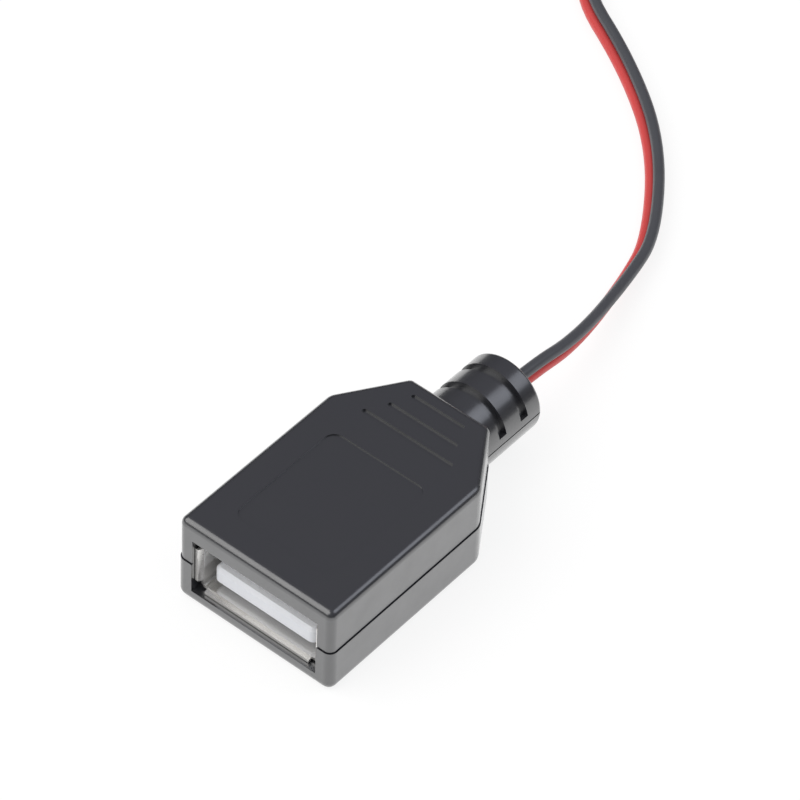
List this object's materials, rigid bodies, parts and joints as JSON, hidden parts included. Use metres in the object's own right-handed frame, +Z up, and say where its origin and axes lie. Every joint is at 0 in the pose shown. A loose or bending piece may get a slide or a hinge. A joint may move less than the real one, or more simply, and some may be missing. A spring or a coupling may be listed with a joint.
{
  "type": "socket to crocodile clip test cable",
  "caption": "Test cable with a square-shouldered plastic housed socket, a thin twin cord that parts into two leads, and a booted crocodile clip on each lead.",
  "frame": {"origin": "under the middle of the socket's housing, on the plane it rests on", "axes": "+X across the housing, +Y from the port towards the cord, +Z up from the table"},
  "size_m": [0.0434, 0.1752, 0.0095],
  "materials": {
    "shell_plastic": "fine satin black moulding",
    "socket_metal": "bright nickel plate over sheet, drawn smooth",
    "insulator_plastic": "smooth white moulding",
    "contact_metal": "gold flash over phosphor bronze",
    "solder": "bright drop of solder",
    "red_core": "smooth soft PVC",
    "black_core": "smooth soft PVC",
    "twin_cores": "two smooth PVC cores side by side, one red and one black",
    "clip_metal": "nickel plated pressed sheet",
    "spring_steel": "plated spring wire",
    "red_boot": "soft moulded PVC",
    "black_boot": "soft moulded PVC"
  },
  "bodies": {
    "cable": {"upper_shell": "shell_plastic", "lower_shell": "shell_plastic", "socket_shell": "socket_metal", "socket_insulator": "insulator_plastic", "contact_vbus": "contact_metal", "contact_data_minus": "contact_metal", "contact_data_plus": "contact_metal", "contact_ground": "contact_metal", "solder_vbus": "solder", "solder_ground": "solder", "red_core_tail": "red_core", "black_core_tail": "black_core", "twin_cord": "twin_cores", "cord_coil": "twin_cores", "red_lead": "red_core", "black_lead": "black_core", "red_fixed_jaw": "clip_metal", "red_pivot_rivet": "clip_metal", "red_jaw_spring": "spring_steel", "red_clip_boot": "red_boot", "black_fixed_jaw": "clip_metal", "black_pivot_rivet": "clip_metal", "black_jaw_spring": "spring_steel", "black_clip_boot": "black_boot"},
    "red_clip_jaw": {"red_moving_jaw": "clip_metal"},
    "black_clip_jaw": {"black_moving_jaw": "clip_metal"}
  },
  "joints": [
    {"name": "red_jaw", "type": "hinge", "parent": "cable", "child": "red_clip_jaw", "pos_m": [-0.0272, 0.1445, 0.0039], "axis": [0, 0, 1], "range_deg": [0, 24], "stiffness_Nm_per_rad": 0.03, "springref_deg": -16.04, "deforming": ["red_jaw_spring", "red_clip_boot"]},
    {"name": "black_jaw", "type": "hinge", "parent": "cable", "child": "black_clip_jaw", "pos_m": [-0.0122, 0.1445, 0.0039], "axis": [0, 0, -1], "range_deg": [0, 24], "stiffness_Nm_per_rad": 0.03, "springref_deg": -16.04, "deforming": ["black_jaw_spring", "black_clip_boot"]}
  ]
}
